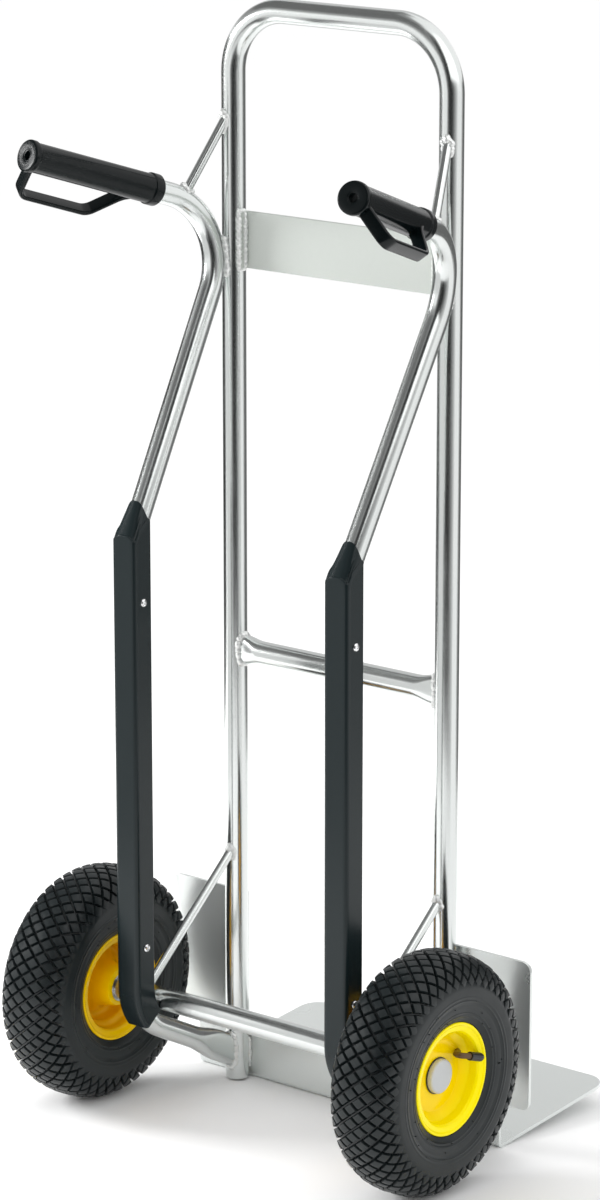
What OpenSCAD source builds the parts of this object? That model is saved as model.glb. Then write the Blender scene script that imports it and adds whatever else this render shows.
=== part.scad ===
// Aluminium hand truck (sack truck): bent tube frame, toe plate with wheel guards, two air-tyred wheels.
// Millimetres. +X is the operator's right, +Y points to the load, +Z is up. The floor is z = 0.
// The frame is laid out with upright main tubes, then leant back about the axle so that
// the two tyres and the heel of the toe plate stand on the floor together.

/* [Main frame] */
// outside diameter of the U-shaped main tube
main_d = 26; // [22:0.5:32]
// half distance between the axes of the two main uprights
upright_x = 143.6; // [120:0.1:180]
// upright axis in front of the wheel axle
upright_y = 142; // [110:0.5:180]
// height of the top bar's axis above the tyre bottoms
frame_top = 1193; // [900:1:1300]
// centreline radius of the two top bends
loop_r = 68; // [50:1:110]
// height of the open lower ends of the uprights
upright_foot = -5; // [-8:0.5:20]
// wall of the aluminium tubes
tube_wall = 2; // [1.5:0.1:3]
// outside diameter of the side tubes, crossbar and axle tube
side_d = 25; // [20:0.5:30]
// height of the middle crossbar's axis
crossbar_z = 494; // [300:1:700]
// height of the back plate's middle
back_plate_z = 946.5; // [800:0.5:1050]
// height of the back plate from edge to edge
back_plate_h = 62; // [40:1:90]
// thickness of the back plate
back_plate_t = 3; // [2:0.5:5]
// diameter of the thin brace rods
brace_d = 10; // [8:0.5:14]
// height where the upper braces leave the uprights
upper_brace_top = 1088; // [1050:1:1120]
// height where the lower braces leave the uprights
lower_brace_top = 269; // [200:1:350]

/* [Side tubes] */
// half distance between the two vertical rails
rail_x = 141.8; // [120:0.1:180]
// rail axis behind the wheel axle
rail_back = 32; // [25:0.5:45]
// height where the slanted tube meets the rail line
rail_top_z = 649.4; // [560:0.1:750]
// height where the rail line meets the lower strut line
rail_low_z = 114.4; // [105:0.1:130]
// centreline radius of the bend under the grip
bend_upper_r = 75; // [60:0.5:95]
// centreline radius of the bend at the top of the rail
bend_mid_r = 75; // [50:1:100]
// centreline radius of the bend round the axle tube
bend_low_r = 60; // [50:0.5:70]

/* [Grips] */
// outside diameter of the grip
grip_d = 31.5; // [29:0.5:38]
// diameter of the collars at the grip's ends
grip_collar_d = 34.5; // [30:0.5:42]
// length of the grip
grip_len = 174; // [120:1:200]
// distance from the grip's axis to the middle of the knuckle bar
guard_reach = 50; // [40:1:70]
// width of the knuckle guard's strap
guard_w = 15; // [10:1:22]
// thickness of the knuckle guard's strap
guard_t = 5; // [3:0.5:8]

/* [Skid covers] */
// outside width of the skid cover
skid_w = 30.8; // [28:0.1:36]
// height of the skid cover's upper edge at its back
skid_top = 657; // [560:1:720]
// depth of the cover from its back face forward
skid_depth = 27.2; // [20:0.1:32]
// diameter of the cover screws' heads
screw_head_d = 9; // [6:0.5:12]
// heights of the lower and upper skid screws
screw_low_z = 198; // [150:1:300]
screw_high_z = 583; // [450:1:640]

/* [Toe plate] */
// half width of the blade
blade_half_w = 209; // [150:1:260]
// depth of the blade in front of its back flange
blade_depth = 208; // [120:1:300]
// thickness of the sheet
sheet_t = 4; // [3:0.5:6]
// how far the heel lies below the tyre bottoms while the uprights are plumb
heel_drop = 9; // [4:0.5:14]
// top edge of the back flange between the uprights
flange_top = 58; // [40:1:100]
// radius of the blade's two front corners
blade_corner_r = 24; // [5:1:60]
// upward slope of the blade towards its front edge, against square to the uprights
blade_tilt = 3.6; // [0:0.1:8]
// half width over the wheel guards
guard_half_w = 247.4; // [220:0.1:290]
// lower edge of the wheel guards
guard_low = 43.3; // [20:0.1:80]
// upper edge of the wheel guards
guard_high = 210; // [120:0.5:300]

/* [Wheels] */
// tyre diameter
tyre_d = 260; // [200:1:320]
// tyre width
tyre_w = 80; // [60:1:100]
// half track: middle plane of each wheel from the truck's middle
track_half = 226.5; // [190:0.5:270]
// diameter over the rim flanges
rim_d = 121; // [100:1:140]
// width over the rim flanges
rim_w = 67; // [50:1:80]
// diameter of the steel axle
axle_d = 20; // [16:0.5:25]
// radial running clearance of the bearings on the axle
axle_clear = 0.05; // [0.02:0.01:0.1]
// diameter of the hub cap
cap_d = 37; // [30:1:50]

/* [Hidden] */
$fn = 48;
axle_z = tyre_d / 2;
y_front = upright_y + main_d / 2 + 0.1;
heel_out_r = 7;
heel_in_r = heel_out_r - sheet_t;
heel_y = y_front + heel_out_r;
heel_z = -heel_drop + heel_out_r;
heel_dist = norm([heel_y, heel_z - axle_z]);
// angle that brings the heel down to the floor when the frame turns about the axle
lean = asin((heel_out_r - axle_z) / heel_dist) - atan2(heel_z - axle_z, heel_y);
// moves the finished truck so that its box is centred on Y = 0
y_shift = -101.8;
grip_p = [210.9, -107.1, 1058.6];
bend_p = [152, 153, 972.9];
rail_hi = [rail_x, -rail_back, rail_top_z];
rail_lo = [rail_x, -rail_back, rail_low_z];
strut_p = [upright_x, 129, 29.4];
side_path = [grip_p, bend_p, rail_hi, rail_lo, strut_p];
side_radii = [0, bend_upper_r, bend_mid_r, bend_low_r, 0];
upper_brace_end = [164.4, 84.6, 998];
lower_brace_end = [rail_x, -rail_back + 4, 132.7];
cask_power = 0.77;
cap_face = 21;
hub_in = -36;
hub_out = 14;
// valve: hole radius on the disc, then the stem's corners and the cap's tip, from the wheel's middle
valve_r = 37.5;
valve_a = 119.8;
stem = [[-18.6, 32.5, 17], [-21.5, 18, 23.5], [-22.3, 13.5, 31], [-19.7, 26.1, 35]];
cap_tip = [-13.1, 48.3, 35];
stem_r = 3.2;
cap_r = 4.8;

function unit(v) = v / norm(v);
function turn(a, b, c) = acos(unit(b - a) * unit(c - b));
function tlen(a, b, c, r) = r * tan(turn(a, b, c) / 2);
function along(a, b, s) = a + unit(b - a) * s;

// places a child in truck space: leant about the axle, then centred
module stand() {
  translate([0, y_shift, 0])
    translate([0, 0, axle_z])
      rotate([lean, 0, 0])
        translate([0, 0, -axle_z]) children();
}
// the same for wheel parts, which are not leant
module at_wheel(s) {
  translate([s * track_half, y_shift, axle_z])
    mirror([s < 0 ? 1 : 0, 0, 0]) rotate([0, 90, 0]) children();
}
// round bar from a to b
module bar(a, b, r) {
  d = b - a;
  translate(a)
    rotate([0, acos(d[2] / norm(d)), atan2(d[1], d[0])]) cylinder(h = norm(d), r = r);
}
// ring segment that rounds the corner a-b-c with centreline radius rb
module elbow(a, b, c, rb, r) {
  d1 = unit(b - a);
  d2 = unit(c - b);
  ang = turn(a, b, c);
  n = unit(cross(d1, d2));
  o = b + unit(d2 - d1) * rb / cos(ang / 2);
  e = unit(b - d1 * rb * tan(ang / 2) - o);
  multmatrix([[e[0], d1[0], n[0], o[0]], [e[1], d1[1], n[1], o[1]], [e[2], d1[2], n[2], o[2]], [0, 0, 0, 1]])
    rotate_extrude(angle = ang) translate([rb, 0]) circle(r = r);
}
// straight part between two bends, a hair thinner and 1 mm into each bend
module run(a, b, r) {
  u = unit(b - a);
  bar(a - u, b + u, r - 0.06);
}
// bent rod through the five points of the side tube
module side_rod(r, start, stop) {
  p = side_path;
  q = side_radii;
  t1 = tlen(p[0], p[1], p[2], q[1]);
  t2 = tlen(p[1], p[2], p[3], q[2]);
  t3 = tlen(p[2], p[3], p[4], q[3]);
  run(along(p[0], p[1], start), along(p[1], p[0], t1), r);
  elbow(p[0], p[1], p[2], q[1], r);
  run(along(p[1], p[2], t1), along(p[2], p[1], t2), r);
  elbow(p[1], p[2], p[3], q[2], r);
  run(along(p[2], p[3], t2), along(p[3], p[2], t3), r);
  elbow(p[2], p[3], p[4], q[3], r);
  run(along(p[3], p[4], t3), along(p[4], p[3], stop), r);
}
// the U-shaped main tube as a solid rod of radius r
module loop_rod(r, extra) {
  for (s = [-1, 1]) {
    translate([s * upright_x, upright_y, upright_foot - extra])
      cylinder(h = frame_top - loop_r - upright_foot + extra, r = r);
    translate([s * (upright_x - loop_r), upright_y, frame_top - loop_r])
      rotate([90, 0, 0]) rotate([0, 0, s > 0 ? 0 : 90])
        rotate_extrude(angle = 90) translate([loop_r, 0]) circle(r = r);
  }
  translate([-upright_x + loop_r, upright_y, frame_top])
    rotate([0, 90, 0]) cylinder(h = 2 * (upright_x - loop_r), r = r);
}
module uprights(r) {
  for (s = [-1, 1])
    translate([s * upright_x, upright_y, -60]) cylinder(h = 1190, r = r);
}
module side(s) {
  mirror([s < 0 ? 1 : 0, 0, 0]) children();
}

module main_frame() {
  color([0.8, 0.81, 0.82]) stand() difference() {
    loop_rod(main_d / 2, 0);
    loop_rod(main_d / 2 - tube_wall, 1);
  }
}
// one flat strip with both ends turned back against the uprights
module back_plate() {
  half = upright_x - main_d / 2 - 0.1;
  er = 8;
  color([0.8, 0.81, 0.82]) stand()
    translate([0, upright_y, back_plate_z - back_plate_h / 2])
      linear_extrude(back_plate_h) {
        translate([-half + er, 2]) square([2 * (half - er), back_plate_t]);
        for (s = [-1, 1]) {
          intersection() {
            translate([s * (half - er), 2 - er + back_plate_t]) difference() {
              circle(r = er);
              circle(r = er - back_plate_t);
            }
            translate([s > 0 ? half - er : -half, 2 - er + back_plate_t]) square([er, er]);
          }
          translate([s > 0 ? half - back_plate_t : -half, -9])
            square([back_plate_t, 2 - er + back_plate_t + 9]);
        }
      }
}
// straight tube whose pressed ends grow taller and thinner before they meet the next tube
module pressed_tube(half, d, tall, thin, len) {
  rotate([0, 90, 0]) translate([0, 0, -half + len]) cylinder(h = 2 * (half - len), r = d / 2);
  for (s = [-1, 1])
    side(s) intersection() {
      translate([0, 50, 0]) rotate([90, 0, 0]) linear_extrude(100)
        polygon([[half - len, -d / 2], [half - len, d / 2], [half - len * 0.2, tall / 2], [half, tall / 2],
          [half, -tall / 2], [half - len * 0.2, -tall / 2]]);
      translate([0, 0, -50]) linear_extrude(100)
        polygon([[half - len, -d / 2], [half - len, d / 2], [half - len * 0.2, thin / 2], [half, thin / 2],
          [half, -thin / 2], [half - len * 0.2, -thin / 2]]);
    }
}
module middle_crossbar() {
  color([0.8, 0.81, 0.82]) stand() difference() {
    translate([0, upright_y, crossbar_z])
      pressed_tube(upright_x - 3, side_d, 33, 17, 30);
    uprights(main_d / 2 + 0.05);
    translate([-upright_x + 36, upright_y, crossbar_z])
      rotate([0, 90, 0]) cylinder(h = 2 * upright_x - 72, r = side_d / 2 - tube_wall);
  }
}
// grip tube, slanted tube, rail and strut in one bent length
module handle_tube(s) {
  e = along(strut_p, rail_lo, 34);
  color([0.8, 0.81, 0.82]) stand() side(s) difference() {
    union() {
      difference() {
        side_rod(side_d / 2, 5, 34);
        side_rod(side_d / 2 - tube_wall, 4, 40);
      }
      // pressed end of the strut
      intersection() {
        translate([upright_x - 20, 0, 0]) rotate([90, 0, 90]) linear_extrude(40)
          polygon([[e[1] - 6, e[2] + 18.3], [e[1] - 18.8, e[2] - 5.6], [strut_p[1] - 4, strut_p[2] - 18],
            [strut_p[1] + 12, strut_p[2] - 18], [strut_p[1] + 12, strut_p[2] + 17],
            [strut_p[1] - 4, strut_p[2] + 17]]);
        translate([upright_x, 0, -20]) linear_extrude(100)
          polygon([[-12.5, 80], [12.5, 80], [12.5, e[1] - 2], [7, strut_p[1] - 6], [7, strut_p[1] + 12],
            [-7, strut_p[1] + 12], [-7, strut_p[1] - 6], [-12.5, e[1] - 2]]);
      }
    }
    uprights(main_d / 2 + 0.05);
  }
}
// thin rod from the upright down and back, with a weld collar at each end
module brace(a, b) {
  difference() {
    union() {
      bar(a, b, brace_d / 2);
      bar(along(a, b, 8), along(a, b, 17), brace_d / 2 + 2);
      bar(along(b, a, 8), along(b, a, 17), brace_d / 2 + 2);
    }
    uprights(main_d / 2 + 0.05);
    side_rod(side_d / 2 + 0.05, 5, 34);
  }
}
module upper_brace(s) {
  color([0.8, 0.81, 0.82]) stand() side(s)
    brace([upright_x, upright_y - 3, upper_brace_top], upper_brace_end);
}
module lower_brace(s) {
  color([0.8, 0.81, 0.82]) stand() side(s)
    brace([upright_x - 0.8, upright_y - 3, lower_brace_top], lower_brace_end);
}
// carries the steel axle; rests in the corner of each side tube's lowest bend
module axle_tube() {
  color([0.8, 0.81, 0.82]) stand() translate([0, 0, axle_z]) rotate([0, 90, 0]) difference() {
    union() {
      translate([0, 0, -164]) cylinder(h = 328, r = side_d / 2);
      for (s = [-1, 1]) translate([0, 0, s * rail_x - 15]) cylinder(h = 30, r = side_d / 2 + 0.1);
    }
    translate([0, 0, -170]) cylinder(h = 340, r = axle_d / 2);
  }
}
// point at distance a along the blade and b square to it, from the heel's centre, as [y, z]
function heel_line(a, b) = [heel_y, heel_z] +
  [a * cos(blade_tilt) - b * sin(blade_tilt), a * sin(blade_tilt) + b * cos(blade_tilt)];

// one bent sheet: blade, heel bend, back flange and the two wheel guards
module toe_plate() {
  c = blade_corner_r;
  front_y = heel_line(blade_depth - heel_out_r, -heel_out_r)[0] - heel_y;
  color([0.76, 0.78, 0.78]) stand() {
    // flange and guards
    translate([0, y_front + sheet_t, 0]) rotate([90, 0, 0]) linear_extrude(sheet_t) {
      translate([-blade_half_w, heel_z]) square([2 * blade_half_w, flange_top - heel_z]);
      for (s = [-1, 1]) {
        translate([s > 0 ? upright_x - 4 : -guard_half_w, guard_low + 8])
          square([guard_half_w - upright_x + 4, guard_high - guard_low - 18]);
        translate([s > 0 ? upright_x - 4 : -guard_half_w + 10, guard_high - 12])
          square([guard_half_w - upright_x - 6, 12]);
        translate([s * (guard_half_w - 10), guard_high - 10]) circle(r = 10);
        translate([s > 0 ? upright_x - 4 : -guard_half_w + 8, guard_low])
          square([guard_half_w - upright_x - 4, 12]);
        translate([s * (guard_half_w - 8), guard_low + 8]) circle(r = 8);
      }
    }
    // heel bend and blade, cut to rounded front corners
    intersection() {
      translate([-blade_half_w, 0, 0]) rotate([90, 0, 90]) linear_extrude(2 * blade_half_w)
        polygon(concat(
          [for (a = [180:10:270]) [heel_y, heel_z] + heel_out_r * [cos(a), sin(a)]],
          [heel_line(0, -heel_out_r), heel_line(blade_depth - heel_out_r, -heel_out_r),
            heel_line(blade_depth - heel_out_r, -heel_in_r), heel_line(0, -heel_in_r)],
          [for (a = [270:-15:180]) [heel_y, heel_z] + heel_in_r * [cos(a), sin(a)]]));
      translate([0, heel_y, -60]) linear_extrude(150) {
        translate([-blade_half_w, -2 * heel_out_r]) square([2 * blade_half_w, front_y - c + 2 * heel_out_r]);
        translate([-blade_half_w + c, 0]) square([2 * (blade_half_w - c), front_y + 2]);
        for (s = [-1, 1]) translate([s * (blade_half_w - c), front_y - c]) circle(r = c);
      }
    }
    // weld runs to the uprights
    difference() {
      for (s = [-1, 1], k = [-1, 1])
        translate([s * upright_x + k * 9, y_front - 2.6, 4]) cylinder(h = 36, r = 3.6);
      uprights(main_d / 2 + 0.05);
    }
  }
}
// rounded channel outline of the skid cover, closed side at -y
module skid_outline(w, d, t) {
  r = 4;
  difference() {
    union() {
      translate([-w / 2, r]) square([w, d - r]);
      translate([-w / 2 + r, 0]) square([w - 2 * r, r]);
      for (s = [-1, 1]) translate([s * (w / 2 - r), r]) circle(r = r);
    }
    translate([-side_d / 2 - 0.1, t]) square([side_d + 0.2, d]);
  }
}
module skid(s) {
  back = -rail_back - side_d / 2 - 2.3;
  zt = rail_low_z + tlen(rail_hi, rail_lo, strut_p, bend_low_r);
  by = -rail_back + bend_low_r;
  color([0.1, 0.11, 0.12]) stand() side(s) difference() {
    union() {
      translate([rail_x, back, zt]) linear_extrude(skid_top - zt) skid_outline(skid_w, skid_depth, 2.2);
      // foot that follows the bend of the tube
      translate([rail_x, by, zt]) rotate([0, 90, 0]) rotate([0, 0, -90])
        rotate_extrude(angle = 38) translate([by - back, 0]) rotate([0, 0, 90])
          skid_outline(skid_w, skid_depth, 2.2);
      // raised shoulders and a hood that narrows onto the slanted tube
      intersection() {
        translate([rail_x - skid_w / 2, 0, 0]) rotate([90, 0, 90]) linear_extrude(skid_w)
          polygon([[back, skid_top - 6], [back, skid_top - 2], [back + 18.5, skid_top + 28],
            [back + 31, skid_top + 21], [back + skid_depth, skid_top + 11],
            [back + skid_depth, skid_top - 6]]);
        translate([rail_x, 50, 0]) rotate([90, 0, 0]) linear_extrude(100)
          polygon([[-skid_w / 2, skid_top - 10], [skid_w / 2, skid_top - 10], [skid_w / 2, skid_top + 1],
            [14.2, skid_top + 30], [-14.2, skid_top + 30], [-skid_w / 2, skid_top + 1]]);
      }
    }
    side_rod(side_d / 2 + 0.1, 5, 34);
  }
}
module skid_screws() {
  color([0.82, 0.83, 0.84]) stand()
    for (s = [-1, 1], z = [screw_low_z, screw_high_z], k = [-1, 1])
      translate([s * rail_x + k * skid_w / 2, -rail_back - 0.5, z]) rotate([0, k * 90, 0])
        difference() {
          union() {
            cylinder(h = 1.6, r = screw_head_d / 2);
            translate([0, 0, 1.6]) cylinder(h = 1.3, r1 = screw_head_d / 2, r2 = screw_head_d / 3.2);
          }
          translate([0, 0, 1.7]) cylinder(h = 2, r = 1.5);
        }
}
// frame of reference of one grip: z along the grip, x towards the knuckle bar
module at_grip() {
  d = unit(bend_p - grip_p);
  o0 = [0.675, -0.083, -0.733];
  o = unit(o0 - d * (o0 * d));
  n = cross(d, o);
  multmatrix([[o[0], n[0], d[0], grip_p[0]], [o[1], n[1], d[1], grip_p[1]], [o[2], n[2], d[2], grip_p[2]],
    [0, 0, 0, 1]]) children();
}
module strap(a, b) {
  v = unit(b - a);
  w = [-v[1], v[0]] * guard_t / 2;
  polygon([a + w, b + w, b - w, a - w]);
}
module grip(s) {
  a = [8, 1.5];
  b = [guard_reach, 19.5];
  c = [guard_reach, 110.5];
  e = [10, 139];
  color([0.08, 0.085, 0.09]) stand() side(s) at_grip() difference() {
    union() {
      translate([0, 0, -3]) cylinder(h = grip_len, r = grip_d / 2);
      translate([0, 0, -3]) cylinder(h = 7, r = grip_collar_d / 2);
      translate([0, 0, grip_len - 15]) cylinder(h = 10, r = grip_collar_d / 2);
      translate([0, guard_w / 2, 0]) rotate([90, 0, 0]) linear_extrude(guard_w) {
        strap(a, b);
        strap(b, c);
        strap(c, e);
        translate(b) circle(r = guard_t / 2);
        translate(c) circle(r = guard_t / 2);
      }
    }
    translate([0, 0, 3.9]) cylinder(h = grip_len, r = side_d / 2);
    translate([0, 0, -4]) cylinder(h = 10, r = 5);
  }
}
// plain steel rod right through both wheels, with a groove near each end
module axle() {
  color([0.55, 0.56, 0.58]) translate([0, y_shift, axle_z]) rotate([0, 90, 0]) difference() {
    translate([0, 0, -track_half - 18.4]) cylinder(h = 2 * track_half + 36.8, r = axle_d / 2);
    for (s = [-1, 1]) translate([0, 0, s * (track_half + 16.9) - 0.6]) difference() {
      cylinder(h = 1.2, r = axle_d);
      translate([0, 0, -1]) cylinder(h = 4, r = axle_d / 2 - 1);
    }
  }
}
module ring(x0, x1, ri, ro) {
  translate([0, 0, x0]) difference() {
    cylinder(h = x1 - x0, r = ro);
    translate([0, 0, -1]) cylinder(h = x1 - x0 + 2, r = ri);
  }
}
module inner_spacers() {
  color([0.6, 0.61, 0.62])
    for (s = [-1, 1]) at_wheel(s)
      ring(164 - track_half, hub_in - 0.3, axle_d / 2, 13.5);
}
module axle_washers() {
  color([0.6, 0.61, 0.62])
    for (s = [-1, 1]) at_wheel(s) ring(hub_out + 0.3, hub_out + 2.3, axle_d / 2, 15);
}
module axle_clips() {
  color([0.4, 0.41, 0.43])
    for (s = [-1, 1]) at_wheel(s) difference() {
      ring(16.35, 17.45, axle_d / 2 - 0.95, 13);
      translate([0, 0, 10]) linear_extrude(12) polygon([[0, 0], [-9, -20], [9, -20]]);
    }
}
// bead seats, well, bowl-shaped disc and hub tube, all one pressing and weld
module rim(s) {
  w = rim_w / 2;
  r = rim_d / 2;
  color([0.96, 0.8, 0.05]) at_wheel(s) difference() {
    rotate_extrude()
      polygon([[r, w], [r, w - 3], [r - 7, w - 4.4], [r - 9, w - 6.5], [r - 9.7, w - 15], [r - 15.5, w - 19],
        [r - 15.5, -w + 19], [r - 9.7, -w + 15], [r - 9, -w + 6.5], [r - 7, -w + 4.4], [r, -w + 3], [r, -w],
        [r - 2.5, -w], [r - 4.5, -w + 1.5], [r - 9.5, -w + 2.5], [r - 11.5, -w + 5], [r - 12.2, -w + 13.8],
        [r - 18, -w + 17.9], [r - 18, w - 24.2], [r - 22, w - 23], [20, hub_out - 4.5], [20, hub_in],
        [16, hub_in], [16, hub_out], [20, hub_out], [20, hub_out - 2],
        [r - 22, w - 20.3], [r - 18.5, w - 17.9], [r - 12.2, w - 13.6], [r - 11.5, w - 5], [r - 9.5, w - 2.5],
        [r - 4.5, w - 1.5], [r - 2.5, w]]);
    // holes for the valve through the well and the disc
    rotate([0, 0, valve_a]) translate([valve_r, 0, 0]) {
      cylinder(h = 30, r = 4.2);
      rotate([0, 90, 0]) cylinder(h = 20, r = 4.2);
      sphere(r = 4.2);
    }
  }
}
// carcass outline: rounded square curve, closed by the two beads
function cask(u, a, b, c) = [c + b * sign(sin(u)) * pow(abs(sin(u)), cask_power),
  a * sign(cos(u)) * pow(abs(cos(u)), cask_power)];
module tyre(s) {
  c = 95;
  b = tyre_d / 2 - c;
  bead_r = rim_d / 2 + 0.4;
  bead_x = rim_w / 2 - 0.2;
  color([0.09, 0.1, 0.11]) at_wheel(s) rotate_extrude() difference() {
    // crown and sidewalls, then straight down to the rim flanges
    polygon(concat([[bead_r, bead_x], [72, 36.3]], [for (u = [-20:10:200]) cask(u, tyre_w / 2, b, c)],
      [[72, -36.3], [bead_r, -bead_x]]));
    polygon([for (u = [-180:15:165]) cask(u, tyre_w / 2 - 6, b - 8, c - 1)]);
    translate([40, -rim_w / 2 + 9]) square([40, rim_w - 18]);
  }
}
// butyl tube in the tyre, with its bent metal valve through the rim disc
module inner_tube(s) {
  color([0.15, 0.15, 0.16]) at_wheel(s) {
    rotate_extrude() difference() {
      polygon([for (u = [-180:15:165]) cask(u, 24, 23, 92)]);
      polygon([for (u = [-180:15:165]) cask(u, 22, 21, 92)]);
    }
    // metal valve: in through the well, out through the disc, then back across the dish
    rotate([0, 0, valve_a]) translate([valve_r, 0, 0]) {
      rotate([0, 90, 0]) cylinder(h = 32.5, r = 3);
      sphere(r = 3);
      cylinder(h = 17, r = 3);
    }
    translate(stem[0]) sphere(r = stem_r + 0.1);
    for (i = [0:2]) {
      bar(stem[i], stem[i + 1], stem_r);
      translate(stem[i + 1]) sphere(r = stem_r + 0.1);
    }
    bar(stem[3], along(stem[3], cap_tip, 9), stem_r);
  }
}
module valve_cap(s) {
  color([0.03, 0.03, 0.03]) at_wheel(s) difference() {
    bar(along(stem[3], cap_tip, 1), cap_tip, cap_r);
    bar(along(stem[3], cap_tip, 0), along(stem[3], cap_tip, 9.1), stem_r + 0.03);
  }
}
module bearings(s) {
  color([0.7, 0.71, 0.72]) at_wheel(s) {
    ring(hub_in, hub_in + 12, axle_d / 2 + axle_clear, 16);
    ring(hub_out - 12, hub_out, axle_d / 2 + axle_clear, 16);
  }
}
module hub_cap(s) {
  color([0.62, 0.63, 0.66]) at_wheel(s) rotate_extrude() difference() {
    union() {
      translate([0, hub_out]) square([cap_d / 2, cap_face - hub_out - 2]);
      translate([0, cap_face - 2]) square([cap_d / 2 - 2, 2]);
      translate([cap_d / 2 - 2, cap_face - 2]) circle(r = 2);
    }
    translate([-1, hub_out - 1]) square([cap_d / 2 - 2, cap_face - hub_out - 0.8]);
    translate([-10, -50]) square([10, 100]);
  }
}

module handle_tube_left() { handle_tube(-1); }
module handle_tube_right() { handle_tube(1); }
module upper_brace_left() { upper_brace(-1); }
module upper_brace_right() { upper_brace(1); }
module lower_brace_left() { lower_brace(-1); }
module lower_brace_right() { lower_brace(1); }
module skid_left() { skid(-1); }
module skid_right() { skid(1); }
module grip_left() { grip(-1); }
module grip_right() { grip(1); }
module rim_left() { rim(-1); }
module rim_right() { rim(1); }
module tyre_left() { tyre(-1); }
module tyre_right() { tyre(1); }
module inner_tube_left() { inner_tube(-1); }
module inner_tube_right() { inner_tube(1); }
module bearings_left() { bearings(-1); }
module bearings_right() { bearings(1); }
module valve_cap_left() { valve_cap(-1); }
module valve_cap_right() { valve_cap(1); }
module hub_cap_left() { hub_cap(-1); }
module hub_cap_right() { hub_cap(1); }

main_frame();
back_plate();
middle_crossbar();
handle_tube_left();
handle_tube_right();
upper_brace_left();
upper_brace_right();
lower_brace_left();
lower_brace_right();
axle_tube();
toe_plate();
skid_left();
skid_right();
skid_screws();
grip_left();
grip_right();
axle();
inner_spacers();
axle_washers();
axle_clips();
rim_left();
tyre_left();
inner_tube_left();
bearings_left();
valve_cap_left();
hub_cap_left();
rim_right();
tyre_right();
inner_tube_right();
bearings_right();
valve_cap_right();
hub_cap_right();
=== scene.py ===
"""Hand truck: polished tube frame, satin toe plate, plastic skids and grips, and two block-tread air tyres.

Sizes are in millimetres in the frame's own upright layout, as the CAD has them. STAND leans that layout
back about the axle and puts it in the part's frame, in metres. Wheel parts use the wheel's own axes.
"""

import random
from math import asin, atan2, ceil, copysign, cos, dist, exp, hypot, pi, radians, sin, sqrt, tan

import bmesh
import bpy
from mathutils import Matrix, Vector


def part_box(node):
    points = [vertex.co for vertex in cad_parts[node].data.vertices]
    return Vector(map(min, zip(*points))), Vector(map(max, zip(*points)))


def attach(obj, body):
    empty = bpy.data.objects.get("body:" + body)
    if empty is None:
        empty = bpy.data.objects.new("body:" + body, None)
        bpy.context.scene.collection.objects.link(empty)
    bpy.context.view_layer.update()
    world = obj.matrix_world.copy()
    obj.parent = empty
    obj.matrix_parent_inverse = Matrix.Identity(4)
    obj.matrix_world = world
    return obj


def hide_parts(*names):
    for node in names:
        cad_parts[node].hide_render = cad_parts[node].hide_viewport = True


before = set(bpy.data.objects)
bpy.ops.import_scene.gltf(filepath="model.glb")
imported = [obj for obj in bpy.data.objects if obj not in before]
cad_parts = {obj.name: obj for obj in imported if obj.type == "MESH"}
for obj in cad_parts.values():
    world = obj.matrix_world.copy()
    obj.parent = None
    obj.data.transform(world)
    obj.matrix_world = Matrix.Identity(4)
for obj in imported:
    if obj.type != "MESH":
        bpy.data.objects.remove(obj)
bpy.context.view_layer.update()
MM = 0.001

# ---- driving sizes, as in the CAD
TUBE_D = 26.0
SIDE_D = 25.0
WALL = 2.0
HOLLOW = 90.0  # how far up the uprights' open feet are hollow
TUBE_SIDES = 48
UPRIGHT_X = 143.6
UPRIGHT_Y = 142.0
UPRIGHT_FOOT = -5.0
FRAME_TOP = 1193.0
LOOP_R = 68.0
CROSSBAR_Z = 494.0
CROSSBAR_R = 12.5
CROSSBAR_PRESSED = (16.2, 8.2)  # half height and half depth of its pressed ends
PLATE_Z = 946.5
PLATE_H = 62.0
PLATE_T = 3.0
PLATE_BACK = 9.0  # how far the plate's folded ends reach behind the uprights' centres
BRACE_R = 5.0
RAIL_X = 141.8
RAIL_Y = -32.0
BRACES = (("upper", Vector((UPRIGHT_X, UPRIGHT_Y - 3, 1088)), Vector((164.4, 84.6, 998))),
          ("lower", Vector((UPRIGHT_X - 0.8, UPRIGHT_Y - 3, 269)), Vector((RAIL_X, RAIL_Y + 4, 132.7))))
SIDE_PATH = [(210.9, -107.1, 1058.6), (152.0, 153.0, 972.9), (RAIL_X, RAIL_Y, 649.4),
             (RAIL_X, RAIL_Y, 114.4), (UPRIGHT_X, 129.0, 29.4)]
SIDE_RADII = [0, 75.0, 75.0, 60.0, 0]
SIDE_PRESSED = (7.4, 17.2)  # half width and half height of the side tube's pressed foot
SHEET_T = 4.0
SHEET_Y = UPRIGHT_Y + TUBE_D / 2 + 0.1
HEEL_R = 7.0
HEEL_Z = -9.0 + HEEL_R
HEEL_Y = SHEET_Y + HEEL_R
BLADE_TILT = radians(3.6)
BLADE_HALF = 209.0
BLADE_DEPTH = 208.0
GUARD_HALF = 247.4
GUARD_LOW = 43.3
GUARD_HIGH = 210.0
FLANGE_TOP = 58.0
SKID_W = 30.8
SKID_DEPTH = 27.2
SKID_TOP = 657.0
SKID_BACK = RAIL_Y - SIDE_D / 2 - 2.3
SKID_WRAP = radians(38)  # how far the skid follows the rail's foot bend
SCREW_HEIGHTS = (198, 583)
GRIP_LEN = 174.0
GRIP_R = 15.75
COLLAR_R = 17.25
GUARD_WAY = Vector((0.675, -0.083, -0.733))  # from the grip towards its knuckle guard
TYRE_R = 130.0
RIM_R = 60.5
RIM_HALF = 33.5

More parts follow.
